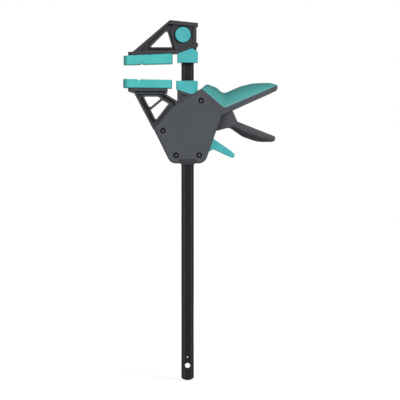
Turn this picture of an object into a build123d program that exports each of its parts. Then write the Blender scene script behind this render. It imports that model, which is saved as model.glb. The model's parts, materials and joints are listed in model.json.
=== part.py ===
from build123d import *
from math import cos, pi, sin
import os

# Quick release bar clamp, worked with one hand. Millimetres.
# X points from the jaws' tips to the handle, Y from front to back, Z up along the bar.
# The origin is the centre of the hole near the bar's lower end, in the bar's middle plane.

# ---- driving dimensions ---------------------------------------------------------------------------

# bar
bar_width = 21.2
bar_thickness = 9.6
bar_top = 575.5
bar_end = -24.8                # tip of the rounded end
bar_end_rise = 4.2             # how far the end's arc rises to the bar's sides
bar_corner = 0.8
groove_half_width = 5.9        # at the bar's face
groove_floor_half_width = 5.1
groove_depth = 1.5
end_hole_radius = 4.3
stop_pin_height = 14.5
stop_pin_radius = 1.5
stop_pin_length = 13.0
slide_clearance = 0.3          # between the bar and what slides on it
socket_clearance = 0.1         # between the bar and the fixed jaw

# fixed jaw
jaw_half_depth = 15.0
jaw_web_half_depth = 10.5      # round the button
jaw_arm_half_depth = 7.0       # in the arm, beside the window
jaw_bead_half_depth = 12.0
jaw_wall_half_depth = 13.2     # the socket's outer wall, between the flanges
jaw_chamfer = 0.7
jaw_hook_x = -95.4             # the plate's end is narrower beyond this
hook_half_depth = 12.0
jaw_pad_line = ((-101.0, 526.1), (-19.0, 529.5))   # underside, where the pad sits
jaw_apex = (-30.1, 586.4)
jaw_flange_x = 17.9            # outer end of the upper and lower flanges
jaw_socket_x = 15.3            # outer wall of the socket between the flanges
sleeve_half_depth = 8.5
upper_sleeve_low = 516.4
sleeve_root = 550.0            # how far up inside the jaw the sleeve begins

# jaw latch: a button that carries a pin round the side of the bar
button_centre = (-7.8, 561.9)
button_radius = 13.75
button_thickness = 3.8
button_front = -16.2           # Y of the button's face at rest
button_travel = 5.0
shank_x = -17.0
shank_radius = 2.5
latch_pin_radius = 4.0
latch_pin_tip = -1.6
strap_front = 10.6
strap_thickness = 2.8
button_spring_floor = -2.0

# pads
pad_half_depth = 18.0
pad_tip_radius = 8.0
upper_pad_face = ((-108.6, 510.4), (-25.5, 512.5))
lower_pad_face = ((-109.3, 486.6), (-26.4, 484.7))
frame_pad_line = ((-101.0, 471.67), (-34.0, 470.7))   # top of the sliding jaw's plate
upper_notch = (-78.0, 4.8, 1.7)    # middle, width and depth of the V across the pad
lower_notch = (-82.0, 6.6, 2.2)
tab_length = 9.0               # tabs on a pad's back, held in slots in the jaw's plate
tab_width = 6.0
tab_rise = 3.0
tab_root = 1.0                 # how far a tab starts inside its pad

# collars
collar_half_depth = 16.0

# housing
housing_half_depth = 17.5
frame_half_depth = 15.0
frame_web_half_depth = 7.5
frame_rib = (-90.0, -37.0, 461.4, 463.1)   # X and Z limits of the rib under the pad's plate
frame_rib_half_depth = 13.0
neck_step_x = -15.7            # left of it the neck's face steps back
neck_step_half_depth = 10.0
neck_recess_half_depth = 12.0
handle_half_depth = 15.0
band_half_depth = 14.0
core_half_depth = 12.4
grip_thickness = 2.5
grip_chamfer = 2.2
chamber_half_depth = 14.2
housing_chamfer = 2.6
scoop_half_width = 14.5
nose_root = 349.0
nose_low = 341.4               # lower end of the nose round the bar
lower_sleeve_x = 13.5
lower_sleeve_low = 455.0

# trigger
trigger_pivot = (34.7, 432.5)
trigger_pin_radius = 3.0
trigger_pin_half_length = 13.0
trigger_half_width = 9.0
finger_half_width = 11.0
trigger_travel = 23.3          # degrees
finger_points = ((79.5, 416.8), (149.6, 388.9), (148.0, 382.0), (144.2, 379.8), (119.0, 379.6),
                 (93.0, 388.6), (68.0, 405.6))
finger_radii = (0.0, 4.0, 0.0, 0.0, 60.0, 40.0, 0.0)
finger_ridge = ((79.5, 403.0), (145.0, 381.6))   # below it the finger lever is bevelled
finger_bevel = 4.0
finger_edge = 1.2
trigger_hub_radius = 7.5
trigger_arm_half_width = 7.0
trigger_nose = (19.2, 435.8)
trigger_nose_radius = 3.5
trigger_gap = 0.4              # between the web and the slot it turns in

# drive plates
plate_count = 3
plate_thickness = 2.5
plate_half_width = 11.0
plate_clip = 2.0               # corners of the plates, cut off square
drive_plate_left = -15.0
drive_plate_right = 23.0
brake_plate_right = 22.0
plate_top = 432.1
plate_hole_gap = 0.4

# release
release_pivot = (31.5, 380.0)
release_pin_radius = 2.0
release_pin_half_length = 11.0
release_half_width = 6.0
release_nose = (20.5, 384.0)
release_nose_radius = 3.0
brake_fulcrum = (-20.5, 376.8)
brake_thickness = 3.0
brake_tilt = 3.4               # degrees, handle side up, at rest

# springs and the chambers they stand in
chamber_left = -18.0
chamber_right = 26.0
chamber_top = 441.0
ledge_top = 392.0
ledge_low = 388.0
chamber_floor = 366.0
drive_spring_radius = 13.15
drive_spring_wire = 1.6
brake_spring_x = 17.0
brake_spring_top = 377.2
brake_spring_radius = 3.0
brake_spring_wire = 1.0
runs_per_turn = 12
spring_gap = 0.3               # between the drive spring and what it stands against

# screws
screw_places = ((23.1, 449.5), (-41.7, 398.5), (-19.6, 356.8), (19.7, 357.0))
screw_radius = 1.6
screw_head_radius = 3.0
screw_head_height = 2.2
counterbore_radius = 5.1
counterbore_depth = 6.5
pin_clearance = 0.05
screw_tip = 11.0               # Y of the screws' ends, in the rear half

channel_half_width = bar_width / 2 + slide_clearance
channel_half_depth = bar_thickness / 2 + slide_clearance


# ---- helpers --------------------------------------------------------------------------------------

def outline(points, radii=0.0):
    """Face in X and Z with rounded corners: one radius for all corners, or one for each."""
    return make_face(FilletPolyline(*points, radius=radii, close=True).edges())


def slab(face, front, back):
    """Solid of a face drawn in X and Z, from y = front to y = back."""
    return extrude(Plane.XZ.offset(-back) * face, amount=back - front)


def disc(centre, radius, front, back):
    """Round solid along Y about a centre given in X and Z."""
    return slab(Pos(*centre) * Circle(radius), front, back)


def block(x0, x1, z0, z1, front, back):
    """Rectangular solid between two planes on each axis."""
    return slab(Pos((x0 + x1) / 2, (z0 + z1) / 2) * Rectangle(x1 - x0, z1 - z0), front, back)


def line_height(line, x):
    """Height at x of the straight line through two points in X and Z."""
    (x0, z0), (x1, z1) = line
    return z0 + (z1 - z0) * (x - x0) / (x1 - x0)


def bar_opening(clearance, low, high):
    """Straight-walled way for the bar, as wide and deep as the bar plus a clearance."""
    half_width = bar_width / 2 + clearance
    half_depth = bar_thickness / 2 + clearance
    return block(-half_width, half_width, low, high, -half_depth, half_depth)


def face_edges(solid, y):
    """Edges that lie in the plane at y."""
    return solid.edges().filter_by_position(Axis.Y, y - 0.01, y + 0.01)


def rear(solid):
    """Mirror image of a front piece, for the back of the clamp."""
    return mirror(solid, about=Plane.XZ)


# ---- bar ------------------------------------------------------------------------------------------

def make_bar():
    """Rolled steel bar with a shallow groove in both wide faces and a rounded lower end."""
    half_width = bar_width / 2
    half_depth = bar_thickness / 2
    quarter = [
        (half_width, half_depth - bar_corner),
        (half_width - bar_corner, half_depth),
        (groove_half_width, half_depth),
        (groove_floor_half_width, half_depth - groove_depth),
    ]
    right = [(x, -y) for x, y in reversed(quarter)] + quarter
    section = make_face(Polyline(*right, *[(-x, -y) for x, y in right], close=True).edges())
    solid = extrude(Pos(0, 0, bar_end) * section, amount=bar_top - bar_end)
    shoulder = bar_end + bar_end_rise
    end_shape = make_face(
        ThreePointArc((-half_width, shoulder), (0, bar_end), (half_width, shoulder)).edges()
        + Polyline((half_width, shoulder), (half_width, bar_top), (-half_width, bar_top),
                   (-half_width, shoulder)).edges())
    solid &= slab(end_shape, -half_depth, half_depth)
    solid -= disc((0, 0), end_hole_radius, -half_depth, half_depth)
    solid -= disc((0, button_centre[1]), end_hole_radius, -half_depth, half_depth)
    return solid - disc((0, stop_pin_height), stop_pin_radius, -half_depth, half_depth)


def make_stop_pin():
    """Pin driven through the bar to stop the sliding jaw."""
    return disc((0, stop_pin_height), stop_pin_radius, -stop_pin_length / 2, stop_pin_length / 2)


# ---- fixed jaw ------------------------------------------------------------------------------------

jaw_silhouette = (jaw_pad_line[0], (-101.0, 532.6), (-92.9, 532.7), jaw_apex, (jaw_flange_x, 581.3),
                  (jaw_flange_x, 542.0), (-16.3, 529.4), jaw_pad_line[1])
jaw_recess = ((-81.8, 534.5), (-32.4, 580.3), (9.8, 575.8), (9.8, 544.0), (-12.0, 534.5))
jaw_arm_recess = ((-81.8, 534.5), (-32.4, 580.3), (-23.6, 579.3), (-28.6, 566.0), (-20.6, 534.5))
jaw_opening = ((-64.6, 540.4), (-35.0, 569.7), (-26.3, 540.4))
jaw_wall = ((9.8, 575.6), (20.0, 575.6), (20.0, 547.7), (9.8, 544.2))   # between the flanges


def make_upper_jaw():
    """Moulded jaw: a flanged triangle with a thin web, and a socket for the top of the bar."""
    silhouette = outline(jaw_silhouette, (0.0, 1.5, 6.0, 5.0, 0.0, 0.0, 0.0, 0.0))
    jaw = slab(silhouette, -jaw_half_depth, jaw_half_depth)
    jaw -= block(jaw_socket_x, jaw_flange_x + 1, 547.7, 575.6, -jaw_half_depth, jaw_half_depth)
    jaw = chamfer(face_edges(jaw, -jaw_half_depth) + face_edges(jaw, jaw_half_depth), jaw_chamfer)
    sunk = [(outline(jaw_recess, (0.0, 2.0, 0.0, 0.0, 0.0)), jaw_web_half_depth),
            (outline(jaw_arm_recess, (0.0, 2.0, 0.0, 0.0, 0.0)), jaw_arm_half_depth),
            (outline(jaw_wall), jaw_wall_half_depth)]
    for face, half_depth in sunk:
        jaw -= slab(face, -jaw_half_depth, -half_depth)
        jaw -= slab(face, half_depth, jaw_half_depth)
    for front in (-jaw_half_depth, hook_half_depth):
        jaw -= block(jaw_pad_line[0][0] - 1, jaw_hook_x, 520.0, 535.0, front,
                     front + jaw_half_depth - hook_half_depth)
    # bead that frames the window on both faces of the web
    window = outline(jaw_opening, (1.5, 2.5, 1.5))
    bead = offset(window, 2.2, kind=Kind.INTERSECTION)
    jaw += slab(bead, -jaw_bead_half_depth, jaw_bead_half_depth)
    jaw -= slab(window, -jaw_half_depth, jaw_half_depth)
    jaw += block(-jaw_socket_x, jaw_socket_x, upper_sleeve_low, sleeve_root,
                 -sleeve_half_depth, sleeve_half_depth)
    jaw -= bar_opening(socket_clearance, upper_sleeve_low, bar_top)
    # pocket that the button sinks into, the way for its shank and spring, and the latch pin's hole
    button_back = button_front + button_thickness
    jaw -= disc(button_centre, button_radius + 1.2, -jaw_half_depth, button_back + button_travel + 0.3)
    shank = (shank_x, button_centre[1])
    jaw -= disc(shank, 4.8, -jaw_half_depth, button_spring_floor)
    jaw -= disc(shank, shank_radius + 0.2, button_spring_floor, jaw_web_half_depth)
    jaw -= disc((0, button_centre[1]), latch_pin_radius + 0.2, 0, jaw_web_half_depth)
    for x in pad_tab_places(jaw_pad_line):
        jaw -= pad_tab(jaw_pad_line, x)
    return jaw


def pad_tab_places(line):
    """Where along a jaw's plate the pad's two tabs stand."""
    (x0, _), (x1, _) = line
    return (x0 + 14.0, x0 + 46.0)


def pad_tab(line, x):
    """Tab that stands up from a pad into a slot of the jaw's plate, or down for the lower pad."""
    sign = 1 if line is jaw_pad_line else -1
    height = tab_rise + tab_root
    middle = line_height(line, x) + sign * (tab_rise - height / 2)
    return Pos(x, 0, middle) * Box(tab_length, tab_width, height)


def make_jaw_button():
    """Round button with a bevelled rim, and the shank that passes the bar to the back of the jaw."""
    back = button_front + button_thickness
    head = disc(button_centre, button_radius, button_front, back)
    head = chamfer(face_edges(head, button_front), 0.8)
    shank = (shank_x, button_centre[1])
    button = head + disc(shank, shank_radius, back, strap_front)
    return button - disc(shank, 1.25, strap_front - 7.0, strap_front)


def make_latch_strap():
    """Steel strap behind the jaw that carries the latch pin into the bar's upper hole."""
    z = button_centre[1]
    back = strap_front + strap_thickness
    strap = slab(Pos(shank_x / 2, z) * SlotCenterToCenter(-shank_x, 10.0), strap_front, back)
    strap -= disc((shank_x, z), 1.5, strap_front, back)
    pin = disc((0, z), latch_pin_radius, latch_pin_tip, strap_front)
    pin = chamfer(face_edges(pin, latch_pin_tip), 0.8)
    return strap + pin


def make_latch_screw():
    """Pan head screw that holds the strap to the button's shank."""
    shank = (shank_x, button_centre[1])
    back = strap_front + strap_thickness
    head = disc(shank, 2.8, back, back + 1.7)
    return head + disc(shank, 1.25, strap_front - 6.5, back)


# ---- collars and pads -----------------------------------------------------------------------------

def make_collar(side_view, sleeve_x, sleeve_low, sleeve_high, clearance):
    """Soft collar round the bar: its ends follow the jaw, and its corners are bevelled in plan."""
    xs = [x for x, _ in side_view]
    left, right = min(xs), max(xs)
    plan = outline(
        ((left, -collar_half_depth), (right - 6.0, -collar_half_depth), (right, -collar_half_depth + 5.0),
         (right, collar_half_depth - 5.0), (right - 6.0, collar_half_depth), (left, collar_half_depth)),
        (2.5, 0.0, 0.0, 0.0, 0.0, 2.5))
    zs = [z for _, z in side_view]
    collar = extrude(Pos(0, 0, min(zs) - 1) * plan, amount=max(zs) - min(zs) + 2)
    collar &= slab(outline(side_view), -collar_half_depth, collar_half_depth)
    collar -= block(-sleeve_x, sleeve_x, sleeve_low, sleeve_high, -sleeve_half_depth, sleeve_half_depth)
    return collar - bar_opening(clearance, min(zs), max(zs))


jaw_underside = jaw_silhouette[5:7]
upper_collar_side = ((-17.5, 514.4), (17.7, 514.4), (17.7, 532.4), (8.0, line_height(jaw_underside, 8.0)),
                     (-16.3, line_height(jaw_underside, -16.3)), (-17.5, 528.8))
collar_seat = ((-19.4, 469.2), (4.6, 460.9), (8.3, 460.9), (17.4, 466.6))   # top of the housing's neck
lower_collar_side = ((-19.4, 483.3), (17.4, 483.3), *reversed(collar_seat))
lower_sleeve_top = 481.0


def make_upper_collar():
    """Collar on the fixed jaw's sleeve."""
    return make_collar(upper_collar_side, jaw_socket_x, upper_sleeve_low, 545.0, slide_clearance)


def make_lower_collar():
    """Collar on the sliding housing's neck."""
    return make_collar(lower_collar_side, lower_sleeve_x, lower_sleeve_low, lower_sleeve_top, slide_clearance)


def make_pad(face_line, plate_line, notch):
    """Soft jaw pad: rounded tip in plan, a V across its face for round work, and two tabs."""
    back_line = [(x, line_height(plate_line, x)) for x, _ in face_line]
    side_view = outline((face_line[0], face_line[1], back_line[1], back_line[0]), 0.6)
    pad = slab(side_view, -pad_half_depth, pad_half_depth)
    left, right = face_line[0][0], face_line[1][0]
    plan = outline(
        ((left, -pad_half_depth), (right, -pad_half_depth), (right, pad_half_depth), (left, pad_half_depth)),
        (pad_tip_radius, 3.0, 3.0, pad_tip_radius))
    pad &= extrude(Pos(0, 0, face_line[0][1] - 60) * plan, amount=120)
    middle, width, depth = notch
    z = line_height(face_line, middle)
    inward = 1 if back_line[0][1] > face_line[0][1] else -1
    half_width = width / 2 + 0.7
    v_shape = outline(((middle - half_width, z - inward * 0.5), (middle + half_width, z - inward * 0.5),
                       (middle, z + inward * depth)))
    pad -= slab(v_shape, -pad_half_depth, pad_half_depth)
    # flared ends of the V on both sides of the pad
    flare = outline(((middle - width, z - inward * 0.5), (middle + width, z - inward * 0.5),
                     (middle + width * 0.6, z + inward * 5.0), (middle - width * 0.6, z + inward * 5.0)))
    for sign in (-1, 1):
        edge = sorted((sign * pad_half_depth, sign * (pad_half_depth - 0.5)))
        pad -= slab(flare, *edge)
    for x in pad_tab_places(plate_line):
        pad += pad_tab(plate_line, x)
    return pad


# ---- housing --------------------------------------------------------------------------------------

plateau_points = ((23.6, 470.4), (-13.5, 446.6), (-27.5, 438.6), (-58.0, 402.3), (-29.0, 343.4),
                  (29.4, 343.4), (58.6, 426.6))
plateau_radii = (3.5, 6.0, 10.0, 3.2, 14.0, 16.0, 3.2)
frame_points = (frame_pad_line[0], (-101.0, 465.3), (-91.0, 462.8), (-58.6, 401.2), (-30.0, 385.0),
                (-17.5, 436.0), (-17.5, 449.4), (-36.0, 460.6), (-34.0, 465.2), frame_pad_line[1])
frame_radii = (0.0, 2.0, 2.0, 0.0, 0.0, 0.0, 0.0, 0.0, 0.0, 0.0)
upper_window = ((-74.3, 457.2), (-50.4, 457.2), (-45.4, 453.3), (-61.8, 439.6), (-65.4, 439.6))
lower_window = ((-62.6, 434.7), (-42.8, 451.0), (-32.2, 444.8), (-52.4, 418.9), (-54.7, 418.9))
window_radii = (1.5, 3.0, 0.0, 0.0, 0.0)
frame_hooks = (-97.7, -36.0)   # both ends of the plate are narrower beyond these
neck_left = -17.5
neck_points = ((neck_left, line_height(collar_seat[:2], neck_left)), *collar_seat[1:], (17.4, 450.0),
               (neck_left, 440.0))
handle_points = ((22.2, 469.2), (32.6, 478.8), (50.4, 471.6), (58.6, 463.4), (66.0, 463.9), (89.0, 474.3),
                 (112.0, 479.8), (140.0, 480.5), (152.8, 476.6), (152.2, 467.8), (139.0, 461.3),
                 (76.0, 433.1), (58.6, 425.4))
handle_radii = (0.0, 6.0, 9.0, 10.0, 10.0, 50.0, 60.0, 30.0, 3.5, 4.0, 12.0, 0.0, 0.0)
grip_seam = ((24.5, 470.1), (62.6, 436.9), (153.5, 476.2))   # lower edge of the soft grip


def handle_face():
    """Side view of the whole handle."""
    return outline(handle_points, handle_radii)


def grip_face():
    """Side view of the soft grip: the part of the handle above its seam."""
    start, corner, end = grip_seam
    above = outline((start, corner, end, (170.0, 500.0), (10.0, 500.0)), (0.0, 7.0, 0.0, 0.0, 0.0))
    return handle_face() & above


def handle_core():
    """Front half of the hard core that the soft grip is moulded over."""
    return slab(offset(handle_face(), -grip_thickness), -core_half_depth, 0)


def trigger_web():
    """Side view of the trigger's web: the part that turns inside the housing and the handle."""
    px, pz = trigger_pivot
    return outline(((76.3, 433.8), (84.8, 414.4), (92.0, 411.6), (92.0, 391.0), (70.6, 404.4), (49.6, 398.8),
                    (40.0, 404.0), (28.4, 424.0), (px, pz + 6.0), (px + 3.0, 440.0)),
                   (0.0, 4.0, 0.0, 0.0, 12.0, 0.0, 0.0, 0.0, 0.0, 0.0))


def trigger_space():
    """Side view of the space that the web sweeps: the hull round it at both ends of its travel."""
    px, pz = trigger_pivot
    pulled = Pos(px, pz) * Rotation(0, 0, trigger_travel + 1) * Pos(-px, -pz) * trigger_web()
    swept = make_hull(trigger_web().edges() + pulled.edges())
    return offset(swept, 0.5, kind=Kind.INTERSECTION)


def make_housing_half():
    """Front half of the moulded housing, which carries the sliding jaw and half of the handle."""
    plateau = slab(outline(plateau_points, plateau_radii), -housing_half_depth, 0)
    half = chamfer(face_edges(plateau, -housing_half_depth), housing_chamfer)

    # latticed jaw frame: rims round thinner webs
    windows = outline(upper_window, window_radii) + outline(lower_window, window_radii)
    frame_side = outline(frame_points, frame_radii)
    frame = slab(frame_side, -frame_half_depth, 0)
    pocket = offset(frame_side, -3.0, kind=Kind.INTERSECTION) - offset(windows, 2.4, kind=Kind.INTERSECTION)
    pocket -= outline(((-101, 472), (-101, 466), (-35, 466), (-35, 472)))
    frame -= slab(pocket, -frame_half_depth, -frame_web_half_depth)
    frame += block(*frame_rib, -frame_rib_half_depth, 0)
    frame -= slab(windows, -frame_half_depth, 0)
    for x in pad_tab_places(frame_pad_line):
        frame -= pad_tab(frame_pad_line, x)
    for left, right in ((-102.0, frame_hooks[0]), (frame_hooks[1], -33.0)):
        frame -= block(left, right, 465.0, 473.0, -frame_half_depth, -hook_half_depth)
    half += frame

    # neck under the collar, with a three-cornered recess, and the sleeve inside the collar
    neck = slab(outline(neck_points), -frame_half_depth, 0)
    recess = outline(((-13.6, 462.2), (-1.0, 458.2), (-12.9, 450.4)))
    neck -= slab(recess, -frame_half_depth, -neck_recess_half_depth)
    neck -= block(neck_left, neck_step_x, 448.0, 469.0, -frame_half_depth, -neck_step_half_depth)
    half += neck
    half += block(-lower_sleeve_x, lower_sleeve_x, lower_sleeve_low, lower_sleeve_top, -sleeve_half_depth, 0)

    # handle: a core inside the soft grip, and a band that shows below it
    half += slab(handle_face() - grip_face(), -band_half_depth, 0)
    half += handle_core()

    # scooped throat where the bar leaves, with a tapered nose
    wedge = make_face(Polyline((-housing_half_depth - 1, 352.0), (-housing_half_depth - 1, 343.0),
                               (-9.0, 343.0), close=True).edges())
    half -= extrude(Plane.YZ.offset(-scoop_half_width) * wedge, amount=2 * scoop_half_width)
    nose = loft([Pos(0, 0, nose_root) * Rectangle(30.0, 22.0), Pos(0, 0, nose_low) * Rectangle(22.6, 14.0)])
    half += nose & block(-scoop_half_width - 1, scoop_half_width + 1, nose_low, nose_root, -12, 0)

    # mechanism chambers, drawn clear of the screws
    half -= block(chamber_left, chamber_right, ledge_top, chamber_top, -chamber_half_depth, 0)
    half -= block(chamber_left, chamber_right, chamber_floor, ledge_low, -chamber_half_depth, 0)
    fx, fz = brake_fulcrum
    half -= block(fx - 2.2, chamber_left, fz - 1.8, fz + 1.8, -plate_half_width - 0.3, 0)
    half -= slab(trigger_space(), -trigger_half_width - trigger_gap, 0)
    half -= block(14.0, trigger_pivot[0], 424.0, chamber_top, -trigger_half_width - trigger_gap, 0)
    release_space = outline(((15.0, ledge_low), (15.0, chamber_floor), (27.0, chamber_floor), (31.0, 361.4),
                             (60.0, 361.4), (60.0, 391.0), (24.0, 391.0)))
    half -= slab(release_space, -release_half_width - 0.4, 0)
    half -= block(-channel_half_width, channel_half_width, nose_low, lower_sleeve_top, -channel_half_depth, 0)

    # pin sockets and screw holes
    half -= disc(trigger_pivot, trigger_pin_radius, -trigger_pin_half_length, 0)
    half -= disc(release_pivot, release_pin_radius, -release_pin_half_length, 0)
    return half


def make_housing_front():
    """Front half, counterbored for the screws."""
    half = make_housing_half()
    floor = counterbore_depth - housing_half_depth
    for place in screw_places:
        half -= disc(place, counterbore_radius, -housing_half_depth, floor)
        half -= disc(place, screw_radius + 0.2, floor, 0)
    return half


def make_housing_rear():
    """Back half, with the blind holes that the screws bite into."""
    half = rear(make_housing_half())
    for place in screw_places:
        half -= disc(place, screw_radius, 0, screw_tip + 1.0)
    return half


def make_grip_half():
    """Soft skin moulded over the front half of the handle's core."""
    handle = slab(handle_face(), -handle_half_depth, 0)
    handle = chamfer(face_edges(handle, -handle_half_depth), grip_chamfer)
    grip = handle & slab(grip_face(), -handle_half_depth, 0)
    plateau = slab(outline(plateau_points, plateau_radii), -housing_half_depth, 0)
    return grip - handle_core() - plateau


def make_housing_screws():
    """Four pan head screws with cross recesses."""
    floor = counterbore_depth - housing_half_depth
    front = floor - screw_head_height
    screws = []
    for place in screw_places:
        head = disc(place, screw_head_radius, front, floor)
        screw = head + disc(place, screw_radius, floor, screw_tip)
        cross = Rectangle(3.6, 0.9) + Rectangle(0.9, 3.6)
        screws.append(screw - slab(Pos(*place) * cross, front, front + 1.2))
    return Compound(screws)


# ---- trigger and drive ----------------------------------------------------------------------------

def make_finger_lever():
    """Lever that the fingers pull: deeply bevelled below its ridge, with lightly broken edges above."""
    lever = slab(outline(finger_points, finger_radii), -finger_half_width, finger_half_width)
    sides = face_edges(lever, -finger_half_width) + face_edges(lever, finger_half_width)
    lever = chamfer([edge for edge in sides if rise_over_ridge(edge) < 0], finger_bevel)
    sides = face_edges(lever, -finger_half_width) + face_edges(lever, finger_half_width)
    outer = [edge for edge in sides if rise_over_ridge(edge) > 1 and edge.center().X > 85]
    return chamfer(outer, finger_edge)


def rise_over_ridge(edge):
    """Height of an edge's centre over the finger lever's ridge line."""
    return edge.center().Z - line_height(finger_ridge, edge.center().X)


def make_trigger():
    """Trigger: hub on its pin, a short nose over the drive plates, and a finger lever."""
    px, pz = trigger_pivot
    nx, nz = trigger_nose
    lever = slab(trigger_web(), -trigger_half_width, trigger_half_width)
    lever += make_finger_lever()
    lever += disc(trigger_pivot, trigger_hub_radius, -trigger_half_width, trigger_half_width)
    arm = disc(trigger_nose, trigger_nose_radius, -trigger_arm_half_width, trigger_arm_half_width)
    arm += block(nx, px, nz - trigger_nose_radius, nz + trigger_nose_radius,
                 -trigger_arm_half_width, trigger_arm_half_width)
    lever += arm
    return lever - disc(trigger_pivot, trigger_pin_radius + pin_clearance,
                        -trigger_half_width, trigger_half_width)


def make_pivot_pin(place, radius, half_length):
    """Plain ground pin."""
    return disc(place, radius, -half_length, half_length)


def make_drive_plate(index):
    """Hardened plate round the bar: it bites when the trigger's nose pushes its end down."""
    top = plate_top - index * plate_thickness
    plan = Pos((drive_plate_left + drive_plate_right) / 2, 0) * Rectangle(
        drive_plate_right - drive_plate_left, 2 * plate_half_width)
    plan = chamfer(plan.vertices(), plate_clip)
    plan -= Rectangle(bar_width + 2 * plate_hole_gap, bar_thickness + 2 * plate_hole_gap)
    return extrude(Pos(0, 0, top - plate_thickness) * plan, amount=plate_thickness)


def make_brake_plate():
    """Plate hinged at its far end: tilted it locks the bar, and square to the bar it lets it run."""
    fx, fz = brake_fulcrum
    plan = Pos((fx + brake_plate_right) / 2, 0) * Rectangle(brake_plate_right - fx, 2 * plate_half_width)
    plan = chamfer(plan.vertices().sort_by(Axis.X)[2:], plate_clip)
    plan -= Rectangle(bar_width + 0.9, bar_thickness + 2 * plate_hole_gap)
    plate = extrude(Pos(0, 0, fz - brake_thickness / 2) * plan, amount=brake_thickness)
    plate += disc(brake_fulcrum, brake_thickness / 2, -plate_half_width, plate_half_width)
    return plate.rotate(Axis((fx, 0, fz), (0, -1, 0)), brake_tilt)


def make_spring(low, high, radius, wire, turns):
    """Coil of square wire standing along Z, each turn made of short straight runs with mitred joints."""
    runs = turns * runs_per_turn
    rise = (high - low - wire) / runs
    coil = Polyline([(radius * cos(2 * pi * run / runs_per_turn), radius * sin(2 * pi * run / runs_per_turn),
                      low + wire / 2 + rise * run) for run in range(runs + 1)])
    section = Plane(origin=coil @ 0, z_dir=coil % 0) * Rectangle(wire, wire)
    return sweep(section, path=coil, transition=Transition.RIGHT)


def make_drive_spring():
    """Spring round the bar that lifts the drive plates and the trigger back."""
    low_plate = plate_top - plate_count * plate_thickness
    return make_spring(ledge_top + spring_gap, low_plate - spring_gap, drive_spring_radius,
                       drive_spring_wire, 2)


def make_brake_spring():
    """Small spring under the brake plate's free end that keeps it tilted."""
    spring = make_spring(chamber_floor, brake_spring_top, brake_spring_radius, brake_spring_wire, 2)
    return Pos(brake_spring_x, 0, 0) * spring


def make_button_spring():
    """Small spring round the button's shank."""
    length = button_spring_floor - (button_front + button_thickness)
    coil = make_spring(0.2, length - 0.2, 3.6, 0.9, 2)
    upright = coil.rotate(Axis.X, -90)
    return Pos(shank_x, button_front + button_thickness, button_centre[1]) * upright


def make_release_lever():
    """Release lever: hub on its pin, a nose over the brake plate, and a tapered finger tab."""
    px, pz = release_pivot
    nx, nz = release_nose
    tab = outline(((px, pz + 6.3), (42.8, 386.3), (74.4, 364.5), (80.6, 358.6), (78.4, 352.2), (70.0, 355.0),
                   (47.0, 365.8), (42.6, 367.2), (36.6, 362.6), (px, 374.0)),
                  (0.0, 0.0, 14.0, 3.0, 3.0, 14.0, 0.0, 3.0, 0.0, 0.0))
    lever = slab(tab, -release_half_width, release_half_width)
    lever = chamfer(face_edges(lever, -release_half_width) + face_edges(lever, release_half_width), 1.2)
    lever += disc(release_pivot, 6.0, -release_half_width, release_half_width)
    lever += disc(release_nose, release_nose_radius, -5.5, 5.5)
    lever += block(nx, px, nz - release_nose_radius, nz + 2.0, -5.5, 5.5)
    return lever - disc(release_pivot, release_pin_radius + pin_clearance,
                        -release_half_width, release_half_width)


# ---- parts ----------------------------------------------------------------------------------------

grip_front = make_grip_half()
parts = {
    "bar": make_bar(),
    "stop_pin": make_stop_pin(),
    "upper_jaw": make_upper_jaw(),
    "upper_pad": make_pad(upper_pad_face, jaw_pad_line, upper_notch),
    "upper_collar": make_upper_collar(),
    "jaw_button": make_jaw_button(),
    "latch_strap": make_latch_strap(),
    "latch_screw": make_latch_screw(),
    "button_spring": make_button_spring(),
    "housing_front": make_housing_front(),
    "housing_rear": make_housing_rear(),
    "housing_screws": make_housing_screws(),
    "grip_front": grip_front,
    "grip_rear": rear(grip_front),
    "lower_pad": make_pad(lower_pad_face, frame_pad_line, lower_notch),
    "lower_collar": make_lower_collar(),
    "trigger": make_trigger(),
    "trigger_pin": make_pivot_pin(trigger_pivot, trigger_pin_radius, trigger_pin_half_length),
    "drive_spring": make_drive_spring(),
    "brake_plate": make_brake_plate(),
    "brake_spring": make_brake_spring(),
    "release_lever": make_release_lever(),
    "release_pin": make_pivot_pin(release_pivot, release_pin_radius, release_pin_half_length),
}
for number in range(plate_count):
    parts[f"drive_plate_{number + 1}"] = make_drive_plate(number)

os.makedirs("parts", exist_ok=True)
for name, shape in parts.items():
    export_step(shape, f"parts/{name}.step")
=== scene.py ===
import json
import math

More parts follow.
